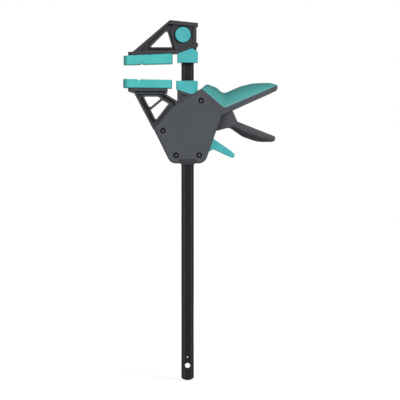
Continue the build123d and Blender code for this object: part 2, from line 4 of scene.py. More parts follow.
import bmesh
import bpy
import numpy as np
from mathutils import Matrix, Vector


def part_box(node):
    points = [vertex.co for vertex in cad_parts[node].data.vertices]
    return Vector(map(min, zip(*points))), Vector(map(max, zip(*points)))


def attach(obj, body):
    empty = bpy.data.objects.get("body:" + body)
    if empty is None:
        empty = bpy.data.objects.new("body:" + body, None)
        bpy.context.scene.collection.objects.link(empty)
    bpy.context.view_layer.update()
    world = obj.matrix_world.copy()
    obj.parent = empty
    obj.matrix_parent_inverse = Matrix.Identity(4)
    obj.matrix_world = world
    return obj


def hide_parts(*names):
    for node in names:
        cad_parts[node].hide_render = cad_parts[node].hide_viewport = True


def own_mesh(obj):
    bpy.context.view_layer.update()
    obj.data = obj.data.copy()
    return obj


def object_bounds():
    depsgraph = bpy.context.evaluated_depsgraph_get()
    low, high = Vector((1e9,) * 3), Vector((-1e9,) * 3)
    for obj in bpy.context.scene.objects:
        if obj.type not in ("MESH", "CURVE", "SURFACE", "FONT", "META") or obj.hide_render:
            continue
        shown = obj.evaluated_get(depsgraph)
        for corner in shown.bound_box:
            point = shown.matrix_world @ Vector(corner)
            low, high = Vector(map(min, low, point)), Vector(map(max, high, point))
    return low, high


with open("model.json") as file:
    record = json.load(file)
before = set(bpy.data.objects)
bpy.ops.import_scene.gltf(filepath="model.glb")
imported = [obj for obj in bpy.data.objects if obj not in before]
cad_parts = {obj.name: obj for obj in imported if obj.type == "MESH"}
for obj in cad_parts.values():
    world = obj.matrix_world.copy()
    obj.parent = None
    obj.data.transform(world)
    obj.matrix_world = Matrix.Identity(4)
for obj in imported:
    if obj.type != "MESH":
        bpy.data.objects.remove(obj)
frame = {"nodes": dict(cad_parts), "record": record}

# Quick release bar clamp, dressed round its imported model.
# Sizes in the dictionaries are millimetres in the model's frame: X to the handle, Y to the back and Z up
# the bar.

mm = 0.001
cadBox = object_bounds()
bodyOf = {node: body for body, nodes in frame["record"]["behaviour"]["bodies"].items() for node in nodes}

# camera, lamps and floor

studio = {
    "aim": (21.1, 281.2),          # X and Z that the camera looks at
    "distance": 4800.0,
    "fieldWidth": 680.0,           # what the picture's width covers at the clamp
    "sensor": 36.0,
    "farClip": 60.0,               # metres
    "ambient": 0.34,
    "floorSize": 9000.0,
    "floorGap": 0.2,
    "floorColour": 0.4,
    "floorGlow": (0.7, 1.0),       # what is added to the floor beside the clamp and far from it
    "floorReach": (300.0, 1500.0),   # where the glow starts to rise, and where it is full
    "lampAim": (0.02, 0, 0.42),    # metres
    "lamps": {                     # place and size in metres, and the share of white on a face turned to it
        "key": ((1.5, -2.7, 1.7), 0.9, 0.66),
        "fill": ((-2.0, -2.6, 0.8), 1.8, 0.08),
        "above": ((0.2, 0.3, 2.6), 1.4, 0.12),
        "back": ((0.9, 2.6, 1.6), 1.6, 0.36),
    },
}


def makeCamera():
    camera = bpy.data.objects.new("camera", bpy.data.cameras.new("camera"))
    bpy.context.scene.collection.objects.link(camera)
    aimX, aimZ = studio["aim"]
    camera.location = (aimX * mm, -studio["distance"] * mm, aimZ * mm)
    camera.rotation_euler = (math.pi / 2, 0, 0)
    camera.data.sensor_width = studio["sensor"]
    camera.data.lens = studio["sensor"] * studio["distance"] / studio["fieldWidth"]
    camera.data.clip_end = studio["farClip"]
    bpy.context.scene.camera = camera


def makeLamps():
    target = Vector(studio["lampAim"])
    for name, (place, size, share) in studio["lamps"].items():
        lamp = bpy.data.lights.new(name, "AREA")
        lamp.size = size
        away = Vector(place) - target
        # at this power a matt face shows that share of its colour
        lamp.energy = share * math.pi ** 2 * away.length_squared
        lampObject = bpy.data.objects.new(name, lamp)
        lampObject.location = place
        lampObject.rotation_euler = away.to_track_quat("Z", "Y").to_euler()
        bpy.context.scene.collection.objects.link(lampObject)


def put(tree, kind, sockets=None, **fields):
    # one node; sockets maps an input's name or number to a value or to another node's output
    node = tree.nodes.new(kind)
    for field, value in fields.items():
        setattr(node, field, value)
    for key, value in (sockets or {}).items():
        if isinstance(value, bpy.types.NodeSocket):
            tree.links.new(value, node.inputs[key])
        else:
            node.inputs[key].default_value = value
    return node


def reckon(tree, operation, *values):
    return put(tree, "ShaderNodeMath", dict(enumerate(values)), operation=operation).outputs[0]


def objectPlace(tree):
    return put(tree, "ShaderNodeTexCoord").outputs["Object"]


def noise(tree, place, scale, detail, roughness=0.5):
    return put(tree, "ShaderNodeTexNoise", {"Vector": place, "Scale": scale, "Detail": detail,
                                            "Roughness": roughness}).outputs[0]


def remap(tree, value, low, high, fromLow=0.35, fromHigh=0.65):
    # a value between the two levels, by default those that noise mostly keeps to, spread from low to high
    return put(tree, "ShaderNodeMapRange", {"Value": value, "From Min": fromLow, "From Max": fromHigh,
                                            "To Min": low, "To Max": high}).outputs[0]


def seenDirectly(tree):
    # one for rays that show the backdrop: from the camera, in a mirror or through glass
    path = put(tree, "ShaderNodeLightPath")
    glossy = reckon(tree, "MAXIMUM", path.outputs["Is Camera Ray"], path.outputs["Is Glossy Ray"])
    return reckon(tree, "MAXIMUM", glossy, path.outputs["Is Transmission Ray"])


def makeWorld():
    world = bpy.data.worlds.new("studio")
    bpy.context.scene.world = world
    world.use_nodes = True
    tree = world.node_tree
    tree.nodes.clear()
    ambient = put(tree, "ShaderNodeBackground", {"Color": (1, 1, 1, 1), "Strength": studio["ambient"]})
    white = put(tree, "ShaderNodeBackground", {"Color": (1, 1, 1, 1), "Strength": 1.0})
    mixed = put(tree, "ShaderNodeMixShader",
                {0: seenDirectly(tree), 1: ambient.outputs[0], 2: white.outputs[0]})
    put(tree, "ShaderNodeOutputWorld", {0: mixed.outputs[0]})


def makeFloor():
    # a flat square just below the bar's end that takes the clamp's shadow and burns out to white farther off
    half = studio["floorSize"] * mm / 2
    level = cadBox[0][2] - studio["floorGap"] * mm
    corners = [(-half, -half, level), (half, -half, level), (half, half, level), (-half, half, level)]
    mesh = bpy.data.meshes.new("floor")
    mesh.from_pydata(corners, [], [(0, 1, 2, 3)])
    floor = bpy.data.objects.new("floor", mesh)
    bpy.context.scene.collection.objects.link(floor)
    paint = bpy.data.materials.new("floorPaint")
    paint.use_nodes = True
    tree = paint.node_tree
    tree.nodes.clear()
    matt = put(tree, "ShaderNodeBsdfDiffuse", {"Color": (*[studio["floorColour"]] * 3, 1)})
    place = objectPlace(tree)
    distance = put(tree, "ShaderNodeVectorMath", {0: place}, operation="LENGTH").outputs["Value"]
    start, end = studio["floorReach"]
    added = remap(tree, distance, *studio["floorGlow"], start * mm, end * mm)
    lift = reckon(tree, "MULTIPLY", seenDirectly(tree), added)
    glow = put(tree, "ShaderNodeEmission", {"Color": (1, 1, 1, 1), "Strength": lift})
    both = put(tree, "ShaderNodeAddShader", {0: matt.outputs[0], 1: glow.outputs[0]})
    put(tree, "ShaderNodeOutputMaterial", {0: both.outputs[0]})
    mesh.materials.append(paint)


bpy.context.scene.view_settings.view_transform = "Standard"
makeCamera()
makeLamps()
makeWorld()
makeFloor()
print("stage: camera, lamps and floor")

# finishes: node groups that several materials share


def newGroup(name, inputs, outputs):
    group = bpy.data.node_groups.new(name, "ShaderNodeTree")
    for title, value in inputs.items():
        socket = group.interface.new_socket(title, in_out="INPUT", socket_type="NodeSocketFloat")
        socket.default_value = value
    for title in outputs:
        group.interface.new_socket(title, in_out="OUTPUT", socket_type="NodeSocketFloat")
    return group, group.nodes.new("NodeGroupInput"), group.nodes.new("NodeGroupOutput")


def giveOut(group, result, **values):
    for title, value in values.items():
        group.links.new(value, result.inputs[title])
    return group


def makeMouldGrain():
    # spark-eroded mould texture: fine noise over shallow cells, soft blotches, and sparse rubbed streaks
    group, given, result = newGroup("mouldGrain", {"Grain": 900.0, "Blotch": 30.0, "Rub": 60.0},
                                    ("Height", "Blotch", "Rub"))
    place = objectPlace(group)
    fine = noise(group, place, given.outputs["Grain"], detail=3.0)
    cellShare, noiseShare = 0.55, 0.7    # the cells' scale over the noise's, and the noise's part in height
    cellScale = reckon(group, "MULTIPLY", given.outputs["Grain"], cellShare)
    cells = put(group, "ShaderNodeTexVoronoi", {"Vector": place, "Scale": cellScale})
    height = reckon(group, "MULTIPLY_ADD", fine, noiseShare, cells.outputs["Distance"])
    blotch = noise(group, place, given.outputs["Blotch"], detail=2.0, roughness=0.55)
    along = put(group, "ShaderNodeMapping",
                {"Vector": place, "Rotation": (0.0, 0.6, 0.0), "Scale": (1.0, 1.0, 0.12)})
    streak = noise(group, along.outputs[0], given.outputs["Rub"], detail=6.0, roughness=0.7)
    rub = remap(group, streak, 0.0, 1.0, fromLow=0.62, fromHigh=0.78)
    return giveOut(group, result, Height=height, Blotch=blotch, Rub=rub)


def makeRolledSteel():
    # mill marks drawn out along the bar, with blotches of oxide and bright scuffs
    group, given, result = newGroup("rolledSteel", {"Marks": 700.0, "Blotch": 25.0},
                                    ("Height", "Tone", "Scuff"))
    place = objectPlace(group)
    drawn = put(group, "ShaderNodeMapping", {"Vector": place, "Scale": (1.0, 1.0, 0.02)})
    marks = noise(group, drawn.outputs[0], given.outputs["Marks"], detail=4.0, roughness=0.65)
    tone = noise(group, place, given.outputs["Blotch"], detail=4.0)
    slanted = put(group, "ShaderNodeMapping", {"Vector": place, "Scale": (1.0, 1.0, 0.25)})
    nicks = noise(group, slanted.outputs[0], scale=160.0, detail=8.0, roughness=0.75)
    scuff = remap(group, nicks, 0.0, 1.0, fromLow=0.66, fromHigh=0.76)
    return giveOut(group, result, Height=marks, Tone=tone, Scuff=scuff)


def makeCornerMask(name, inside, covered, clear):
    # how shut in a point is by its own piece: outwards it finds the grooves, and inwards the outer edges
    group, given, result = newGroup(name, {"Reach": 0.004}, ("Mask",))
    openness = put(group, "ShaderNodeAmbientOcclusion", {"Distance": given.outputs["Reach"]}, samples=8,
                   inside=inside, only_local=True)
    return giveOut(group, result, Mask=remap(group, openness.outputs["AO"], 1.0, 0.0, covered, clear))


mouldGrain = makeMouldGrain()
rolledSteel = makeRolledSteel()
creviceShade = makeCornerMask("creviceShade", inside=False, covered=0.3, clear=0.88)         # painted shade in grooves and inner corners
edgeWearAndHighlight = makeCornerMask("edgeWearAndHighlight", inside=True, covered=0.5, clear=0.95)    # hands and bench rub these, and they also take a painted highlight


def tint(red, green, blue):
    # screen colour from 0 to 255, as the linear colour that a shader takes
    screen = np.array((red, green, blue)) / 255
    linear = np.where(screen <= 0.04045, screen / 12.92, ((screen + 0.055) / 1.055) ** 2.4)
    return (*linear.tolist(), 1.0)


def startMaterial(name):
    material = bpy.data.materials.new(name)
    material.use_nodes = True
    tree = material.node_tree
    tree.nodes.clear()
    return material, tree


def mixColour(tree, share, first, second):
    # a Mix node's colours are its inputs 6 and 7, and its output 2
    return put(tree, "ShaderNodeMix", {0: share, 6: first, 7: second}, data_type="RGBA").outputs[2]


def fromLine(tree, line):
    # signed distance from a line in X and Z: the place along the line's normal, less the line's own
    (x0, z0), (x1, z1) = line
    length = math.hypot(x1 - x0, z1 - z0)
    across, up = (z0 - z1) / length, (x1 - x0) / length
    place = objectPlace(tree)
    along = put(tree, "ShaderNodeVectorMath", {0: place, 1: (across, 0.0, up)}, operation="DOT_PRODUCT")
    return reckon(tree, "SUBTRACT", along.outputs["Value"], (across * x0 + up * z0) * mm)


def innerFrameShade(tree, look):
    # one on the jaw frame and neck, which take a painted shade: above the cover's edge line and no farther
    # out in Y than the frame
    above = reckon(tree, "GREATER_THAN", fromLine(tree, look["line"]), 0.0)
    axes = put(tree, "ShaderNodeSeparateXYZ", {0: objectPlace(tree)})
    depth = reckon(tree, "ABSOLUTE", axes.outputs["Y"])
    behind = reckon(tree, "LESS_THAN", depth, look["depth"] * mm)
    return reckon(tree, "MULTIPLY", above, behind)


def cornerShare(tree, group, reachAndShare):
    # a corner mask at the reach in millimetres, scaled to the share of paint that it may replace
    reach, share = reachAndShare
    corners = put(tree, "ShaderNodeGroup", {"Reach": reach * mm}, node_tree=group)
    return reckon(tree, "MULTIPLY", corners.outputs["Mask"], share)


def addSurface(tree, look, colour, rough, height, strength):
    # the material's shader, with the height as its bump, and the output
    bump = put(tree, "ShaderNodeBump", {"Height": height, "Distance": look["bump"] * mm,
                                        "Strength": strength})
    shader = put(tree, "ShaderNodeBsdfPrincipled", {
        "Base Color": colour, "Roughness": rough, "Normal": bump.outputs[0],
        "Metallic": look.get("metallic", 0.0), "Specular IOR Level": look["specular"],
        "Sheen Weight": look.get("sheen", 0.0), "Sheen Roughness": 0.5})
    put(tree, "ShaderNodeOutputMaterial", {0: shader.outputs[0]})


def mouldedMaterial(name, look):
    # plastic or rubber: colour and roughness drift with the blotches; a painted shade on the jaw frame, bands
    # of painted shade and highlight and a painted shadow beside a line are mixed in, then wear with a painted
    # highlight on outer edges, painted shade in grooves and rubbed streaks
    material, tree = startMaterial(name)
    grain = put(tree, "ShaderNodeGroup",
                {"Grain": look["grain"], "Blotch": look["blotch"], "Rub": look["rub"]}, node_tree=mouldGrain)
    drift = remap(tree, grain.outputs["Blotch"], 0.0, 1.0)
    base = mixColour(tree, drift, tint(*look["dark"]), tint(*look["light"]))
    # painted shade on the recessed jaw frame and neck
    if "inner" in look:
        inner = look["inner"]
        innerShadePaint = mixColour(tree, drift, tint(*inner["dark"]), tint(*inner["light"]))
        base = mixColour(tree, innerFrameShade(tree, inner), base, innerShadePaint)
    # bands of painted shade, and near the grip's seam a painted highlight, each drawn from an attribute
    for attribute, low, high, paint in look.get("bands", ()):
        value = put(tree, "ShaderNodeAttribute", attribute_name=attribute).outputs["Fac"]
        base = mixColour(tree, remap(tree, value, 0.0, 1.0, low, high), base, tint(*paint))
    # a painted shadow that fades with the distance from a line
    if "beside" in look:
        line, near, far, paint = look["beside"]
        shade = remap(tree, fromLine(tree, line), 1.0, 0.0, near * mm, far * mm)
        base = mixColour(tree, shade, base, tint(*paint))
    # wear with a painted highlight on outer edges, then painted shade in grooves and inner corners
    if "grooveShadeMask" in look:
        base = mixColour(tree, cornerShare(tree, edgeWearAndHighlight, look["wearAndHighlightMask"]), base, tint(*look["rubbedAndHighlit"]))
        base = mixColour(tree, cornerShare(tree, creviceShade, look["grooveShadeMask"]), base, tint(*look["grooveShadePaint"]))
    rubShare = reckon(tree, "MULTIPLY", grain.outputs["Rub"], look["rubAmount"])
    colour = mixColour(tree, rubShare, base, tint(*look["rubbedAndHighlit"]))
    low, high = look["roughness"]
    rough = remap(tree, grain.outputs["Blotch"], low, high)
    addSurface(tree, look, colour, rough, grain.outputs["Height"], strength=0.6)
    return material


def steelMaterial(name, look):
    # rolled or ground steel under oxide, zinc or oil: drawn marks in bump and roughness, tone in the colour
    material, tree = startMaterial(name)
    steel = put(tree, "ShaderNodeGroup", {"Marks": look["marks"], "Blotch": look["blotch"]},
                node_tree=rolledSteel)
    tone = remap(tree, steel.outputs["Tone"], 0.0, 1.0)
    base = mixColour(tree, tone, tint(*look["dark"]), tint(*look["light"]))
    if "land" in look:
        # the groove keeps its black oxide, a painted highlight runs along its edges, and the lands beyond are
        # in between
        place = objectPlace(tree)
        axes = put(tree, "ShaderNodeSeparateXYZ", {0: place})
        across = reckon(tree, "ABSOLUTE", axes.outputs["X"])
        groove, land = look["landFrom"]
        base = mixColour(tree, remap(tree, across, 0.0, 1.0, groove * mm, land * mm), base,
                         tint(*look["land"]))
        corner, full, reach = look["ridge"]
        off = reckon(tree, "ABSOLUTE", reckon(tree, "SUBTRACT", across, corner * mm))
        base = mixColour(tree, remap(tree, off, 1.0, 0.0, full * mm, reach * mm), base,
                         tint(*look["ridgeHighlight"]))
    scuffShare = reckon(tree, "MULTIPLY", steel.outputs["Scuff"], look["scuffAmount"])
    colour = mixColour(tree, scuffShare, base, tint(*look["scuffed"]))
    low, high = look["roughness"]
    rough = remap(tree, steel.outputs["Height"], low, high)
    addSurface(tree, look, colour, rough, steel.outputs["Height"], strength=0.5)
    return material


# Colours are screen colours from 0 to 255. The two corner masks, wear with a painted highlight on outer edges
# and painted shade in grooves, are a reach in millimetres and a share; a band is an attribute, its values
# where the colour starts and is full, and the colour, which is painted shade except near the grip's seam,
# where it is a painted highlight; beside is a line in X and Z, the distances from it where a painted shadow
# starts to fade and has gone, and the colour; inner is the painted shade of the jaw frame and neck.
mouldedLooks = {
    "jawPlastic": {"dark": (40, 41, 45), "light": (49, 50, 55), "rubbedAndHighlit": (84, 84, 86), "rubAmount": 0.3,
                   "grain": 900.0, "blotch": 28.0, "rub": 70.0, "roughness": (0.5, 0.62), "bump": 0.12,
                   "specular": 0.3, "wearAndHighlightMask": (1.3, 0.6), "grooveShadeMask": (4.0, 1.0), "grooveShadePaint": (6, 6, 7),
                   "bands": (("shaded", 0.0, 1.0, (6, 6, 7)),)},
    "housingPlastic": {"dark": (66, 69, 75), "light": (75, 78, 84), "rubbedAndHighlit": (100, 103, 108),
                       "rubAmount": 0.28, "grain": 850.0, "blotch": 22.0, "rub": 60.0,
                       "roughness": (0.54, 0.66), "bump": 0.12, "specular": 0.3,
                       "wearAndHighlightMask": (1.3, 0.5), "grooveShadeMask": (3.0, 0.7), "grooveShadePaint": (8, 8, 9),
                       "bands": (("shaded", 0.0, 1.0, (6, 6, 7)),),
                       # painted shade on the recessed jaw frame and neck, and a painted shadow on the walls
                       # along the cover's edge
                       "inner": {"line": ((-57.9, 403.0), (23.4, 471.2)), "depth": 15.06,
                                 "dark": (56, 58, 61), "light": (64, 66, 69)}},
    "triggerPlastic": {"dark": (67, 69, 74), "light": (76, 78, 83), "rubbedAndHighlit": (104, 105, 110),
                       "rubAmount": 0.28, "grain": 900.0, "blotch": 30.0, "rub": 80.0,
                       "roughness": (0.5, 0.62), "bump": 0.1, "specular": 0.32,
                       "wearAndHighlightMask": (0.5, 0.15), "grooveShadeMask": (3.0, 0.8), "grooveShadePaint": (14, 14, 15),
                       # painted shade on the finger's underside, and a painted shadow on the web beside the
                       # housing's edge
                       "bands": (("under", -0.1, 0.35, (34, 35, 38)),),
                       "beside": (((61.8, 426.6), (33.0, 343.4)), 0.0, 11.0, (32, 33, 37))},
    "tealPlastic": {"dark": (66, 174, 177), "light": (76, 184, 186), "rubbedAndHighlit": (122, 200, 199),
                    "rubAmount": 0.25, "grain": 1000.0, "blotch": 40.0, "rub": 90.0,
                    "roughness": (0.44, 0.54), "bump": 0.07, "specular": 0.35,
                    "wearAndHighlightMask": (0.8, 0.3), "grooveShadeMask": (2.5, 0.5), "grooveShadePaint": (30, 90, 92)},
    "padRubber": {"dark": (75, 188, 187), "light": (85, 198, 196), "rubbedAndHighlit": (116, 203, 200),
                  "rubAmount": 0.22, "grain": 1100.0, "blotch": 35.0, "rub": 60.0,
                  "roughness": (0.62, 0.76), "bump": 0.14, "specular": 0.28, "sheen": 0.1,
                  # painted shade at the tip and the root, and a painted shade line round the mark
                  "bands": (("end", 0.0, 1.0, (58, 150, 146)), ("mark", 0.0, 1.0, (60, 158, 156)))},
    "gripRubber": {"dark": (70, 155, 153), "light": (80, 165, 162), "rubbedAndHighlit": (112, 180, 177),
                   "rubAmount": 0.22, "grain": 700.0, "blotch": 30.0, "rub": 60.0,
                   "roughness": (0.62, 0.78), "bump": 0.2, "specular": 0.28, "sheen": 0.1,
                   # painted highlight along the seam and painted shade towards the crown
                   "bands": (("rise", 0.22, 0.04, (106, 174, 172)), ("rise", 0.35, 1.0, (50, 116, 113)))},
}
# land is the colour of the bar's lands, and landFrom the distances from the bar's middle line where it
# starts and is full. ridge is such a distance too, of a painted highlight line along the groove's edges in
# its own colour, with the distances from that line where the colour starts to fade and has gone.
steelLooks = {
    "blackSteel": {"dark": (15, 15, 16), "light": (23, 23, 24), "scuffed": (92, 90, 88), "scuffAmount": 0.25,
                   "marks": 700.0, "blotch": 25.0, "roughness": (0.42, 0.56), "bump": 0.05, "metallic": 0.2,
                   "specular": 0.2, "land": (25, 25, 26), "landFrom": (5.2, 6.4), "ridge": (5.8, 0.3, 1.0),
                   "ridgeHighlight": (76, 76, 77)},
    "brightSteel": {"dark": (172, 173, 176), "light": (198, 199, 202), "scuffed": (120, 118, 115),
                    "scuffAmount": 0.3, "marks": 900.0, "blotch": 80.0, "roughness": (0.22, 0.38),
                    "bump": 0.03, "metallic": 1.0, "specular": 0.5},
    "springSteel": {"dark": (120, 121, 124), "light": (150, 151, 154), "scuffed": (84, 80, 76),
                    "scuffAmount": 0.4, "marks": 900.0, "blotch": 60.0, "roughness": (0.28, 0.44),
                    "bump": 0.03, "metallic": 1.0, "specular": 0.5},
    "screwSteel": {"dark": (78, 78, 81), "light": (104, 104, 107), "scuffed": (170, 170, 172),
                   "scuffAmount": 0.5, "marks": 1200.0, "blotch": 200.0, "roughness": (0.26, 0.42),
                   "bump": 0.02, "metallic": 1.0, "specular": 0.5},
}
finishes = {name: mouldedMaterial(name, look) for name, look in mouldedLooks.items()}
finishes.update({name: steelMaterial(name, look) for name, look in steelLooks.items()})
print("stage: finishes", len(finishes))

# mesh tools: every shape below is worked out in millimetres


def gridQuads(rows, columns, closeRows=False):
    # quads between neighbouring rows and round each row, which is a closed ring
    lastRow = rows if closeRows else rows - 1
    row, column = np.meshgrid(np.arange(lastRow), np.arange(columns), indexing="ij")
    below, beside = (row + 1) % rows, (column + 1) % columns
    corners = (row * columns + column, row * columns + beside,
               below * columns + beside, below * columns + column)
    return np.stack(corners, -1).reshape(-1, 4)


def ringShell(points, closeRows=False):
    # rows of closed rings; flat faces shut the first and the last ring unless the rows close on each other
    rows, columns = points.shape[:2]
    ends = [] if closeRows else [list(range(columns)), list(range((rows - 1) * columns, rows * columns))]
    return points.reshape(-1, 3), gridQuads(rows, columns, closeRows), ends


def roundedPath(corners, radii, closed=True, steps=7):
    # each arc leaves its straight sides at its radius times the tangent of half the turn
    corners = np.array(corners, float)
    pieces = []
    for index, radius in enumerate(radii):
        corner, before, after = corners[index], corners[index - 1], corners[(index + 1) % len(corners)]
        if radius == 0 or (not closed and index in (0, len(corners) - 1)):
            pieces.append(corner[None])
            continue
        arriving = (corner - before) / np.linalg.norm(corner - before)
        leaving = (after - corner) / np.linalg.norm(after - corner)
        turn = np.arctan2(arriving[0] * leaving[1] - arriving[1] * leaving[0], arriving @ leaving)
        start = corner - arriving * radius * np.tan(abs(turn) / 2)
        centre = start + np.array((-arriving[1], arriving[0])) * np.sign(turn) * radius
        spoke = start - centre
        angle = np.linspace(0, turn, steps)[:, None]
        pieces.append(centre + spoke * np.cos(angle) + np.array((-spoke[1], spoke[0])) * np.sin(angle))
    return np.vstack(pieces)


def alongPath(path, shares):
    # points of an open path at shares from 0 to 1 of its length
    lengths = np.concatenate(([0], np.cumsum(np.linalg.norm(np.diff(path, axis=0), axis=1))))
    return np.stack([np.interp(shares * lengths[-1], lengths, path[:, axis]) for axis in (0, 1)], -1)


def insetPath(path, amount, leastCosine=0.35):
    # a closed path moved inwards along the mean of each corner's two normals, by the amount over the cosine
    # of half the turn
    ahead = np.roll(path, -1, 0) - path
    ahead /= np.linalg.norm(ahead, axis=1, keepdims=True)
    side = np.stack((-ahead[:, 1], ahead[:, 0]), -1)
    mean = side + np.roll(side, 1, 0)
    mean /= np.linalg.norm(mean, axis=1, keepdims=True)
    return path + mean * amount / np.maximum((mean * side).sum(1, keepdims=True), leastCosine)


def slabShell(path, front, back, rounding, steps=4):
    # a side view in X and Z given its depth, with quarter-round edges: inset 1 - sin and depth 1 - cos of the
    # angle
    area = (path[:, 0] * np.roll(path[:, 1], -1) - np.roll(path[:, 0], -1) * path[:, 1]).sum()
    path = path if area > 0 else path[::-1]
    angle = np.linspace(0, np.pi / 2, steps + 1)
    insets, depths = rounding * (1 - np.sin(angle)), rounding * (1 - np.cos(angle))
    rings = [(insetPath(path, inset), front + depth) for inset, depth in zip(insets, depths)]
    rings += [(insetPath(path, inset), back - depth) for inset, depth in zip(insets[::-1], depths[::-1])]
    points = np.array([np.column_stack((ring[:, 0], np.full(len(ring), y), ring[:, 1])) for ring, y in rings])
    return ringShell(points)


def turnedShell(profile, centre, closed=False, count=72):
    # a profile of radius and Y turned about the line along Y through a centre in X and Z
    radius, y = np.array(profile, float).T[:, :, None]
    angle = np.linspace(0, 2 * np.pi, count, endpoint=False)
    x, z = centre
    points = np.stack((x + radius * np.cos(angle), y + 0 * angle, z + radius * np.sin(angle)), -1)
    return ringShell(points, closeRows=closed)


def bulge(distance, radius):
    # how far a rounded end stands in from its full width at a distance from its tip: r - sqrt(r2 - (r - d)2)
    short = radius - np.clip(distance, 0, radius)
    return radius - np.sqrt(radius ** 2 - short ** 2)


def ease(value):
    # smooth step from 0 to 1
    value = np.clip(value, 0, 1)
    return value * value * (3 - 2 * value)


def power(value, exponent):
    # a power of the value's size, with its sign kept
    return np.sign(value) * np.abs(value) ** exponent


def makePiece(name, shells, nodes, finish, sharp=38):
    # one object from several closed shells, smooth except for edges that turn by more than sharp degrees
    points = np.vstack([shell[0] for shell in shells])
    starts = np.cumsum([0] + [len(shell[0]) for shell in shells[:-1]])
    quads = np.vstack([shell[1] + start for shell, start in zip(shells, starts)])
    ends = [(np.array(face) + start).tolist() for shell, start in zip(shells, starts) for face in shell[2]]
    mesh = bpy.data.meshes.new(name)
    mesh.from_pydata((points * mm).tolist(), [], quads.tolist() + ends)
    work = bmesh.new()
    work.from_mesh(mesh)
    bmesh.ops.recalc_face_normals(work, faces=work.faces)
    work.to_mesh(mesh)
    work.free()
    mesh.shade_smooth()
    mesh.set_sharp_from_angle(angle=math.radians(sharp))
    piece = addPiece(name, mesh, nodes, finish)
    even = piece.modifiers.new("flats", "WEIGHTED_NORMAL")
    even.keep_sharp = True
    return piece


def setShare(piece, attribute, values):
    # a number on each of the piece's first vertices, kept within 0 to 1, and nought on the rest
    shares = np.zeros(len(piece.data.vertices), np.float32)
    shares[:values.size] = np.clip(values, 0, 1).ravel()
    piece.data.attributes.new(attribute, "FLOAT", "POINT").data.foreach_set("value", shares)


def addPiece(name, mesh, nodes, finish):
    # the piece stands for CAD nodes, which it hides, rides with their body and takes the given finish
    mesh.materials.clear()
    mesh.materials.append(finishes[finish])
    piece = bpy.data.objects.new(name, mesh)
    bpy.context.scene.collection.objects.link(piece)
    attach(piece, bodyOf[nodes[0]])
    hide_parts(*nodes)
    return piece


def nodeBox(node):
    # lowest and highest corner of a CAD node in millimetres
    return np.array(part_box(node)) / mm


# plain pieces: copies of the CAD nodes, which keep their own normals; only the handle's core is drawn in

plainPieces = {                    # node: name and finish
    "bar": ("bar_steel", "blackSteel"),
    "upper_jaw": ("upper_jaw_moulding", "jawPlastic"),
    "housing_front": ("housing_front_moulding", "housingPlastic"),
    "housing_rear": ("housing_rear_moulding", "housingPlastic"),
    "upper_collar": ("upper_collar_moulding", "tealPlastic"),
    "lower_collar": ("lower_collar_moulding", "tealPlastic"),
    "stop_pin": ("stop_pin_ground", "brightSteel"),
    "latch_strap": ("latch_strap_plate", "brightSteel"),
    "latch_screw": ("latch_screw_head", "screwSteel"),
    "trigger_pin": ("trigger_pin_ground", "brightSteel"),
    "release_pin": ("release_pin_ground", "brightSteel"),
    "brake_plate": ("brake_plate_steel", "springSteel"),
    "drive_plate_1": ("drive_plate_1_steel", "springSteel"),
    "drive_plate_2": ("drive_plate_2_steel", "springSteel"),
    "drive_plate_3": ("drive_plate_3_steel", "springSteel"),
}
screwPlaces = ((23.1, 449.5), (-41.7, 398.5), (-19.6, 356.8), (19.7, 357.0))
shadedParts = {                    # bores: X, Z and radius; boxes: lowest and highest X and Z
    "housing_front": {"bores": [(x, z, 5.3) for x, z in screwPlaces],
                      "boxes": [(-19.6, -15.6, 430.0, 490.0)]},
    "upper_jaw": {"bores": [(-7.8, 561.9, 15.5)], "boxes": []},
}
slimCore = {                       # the handle's core, drawn in so that the soft grip can be crowned over it
    "nodes": ("housing_front", "housing_rear"),
    "face": 12.4,                  # the core's half depth in the CAD
    "slim": 9.4,
    "right": 23.8,                 # only vertices beyond this X
    "tolerance": 0.05,
}


def drawInCore(mesh, places):
    # the core's two faces move in to the slim half depth
    offFace = np.abs(np.abs(places[:, 1]) - slimCore["face"])
    onCore = (offFace < slimCore["tolerance"]) & (places[:, 0] > slimCore["right"])
    places[onCore, 1] *= slimCore["slim"] / slimCore["face"]
    mesh.vertices.foreach_set("co", (places * mm).ravel())


def shadeParts(mesh, places, bores, boxes):
    # an attribute that is one on the faces inside a bore or a box, which lie in shade
    x, _, z = places.T
    corners = np.empty(len(mesh.loops), int)
    mesh.loops.foreach_get("vertex_index", corners)
    corners = corners.reshape(-1, 3)
    shaded = np.zeros(len(corners), bool)
    for centreX, centreZ, radius in bores:
        shaded |= (np.hypot(x - centreX, z - centreZ) < radius)[corners].all(1)
    for lowX, highX, lowZ, highZ in boxes:
        shaded |= ((x > lowX) & (x < highX) & (z > lowZ) & (z < highZ))[corners].all(1)
    mesh.attributes.new("shaded", "FLOAT", "FACE").data.foreach_set("value", shaded.astype(np.float32))


for node, (name, finish) in plainPieces.items():
    mesh = frame["nodes"][node].data.copy()
    places = np.empty(len(mesh.vertices) * 3)
    mesh.vertices.foreach_get("co", places)
    places = places.reshape(-1, 3) / mm
    if node in slimCore["nodes"]:
        drawInCore(mesh, places)
    if node in shadedParts:
        shadeParts(mesh, places, **shadedParts[node])
    addPiece(name, mesh, (node,), finish)
print("stage: plain pieces", len(plainPieces))

# pads

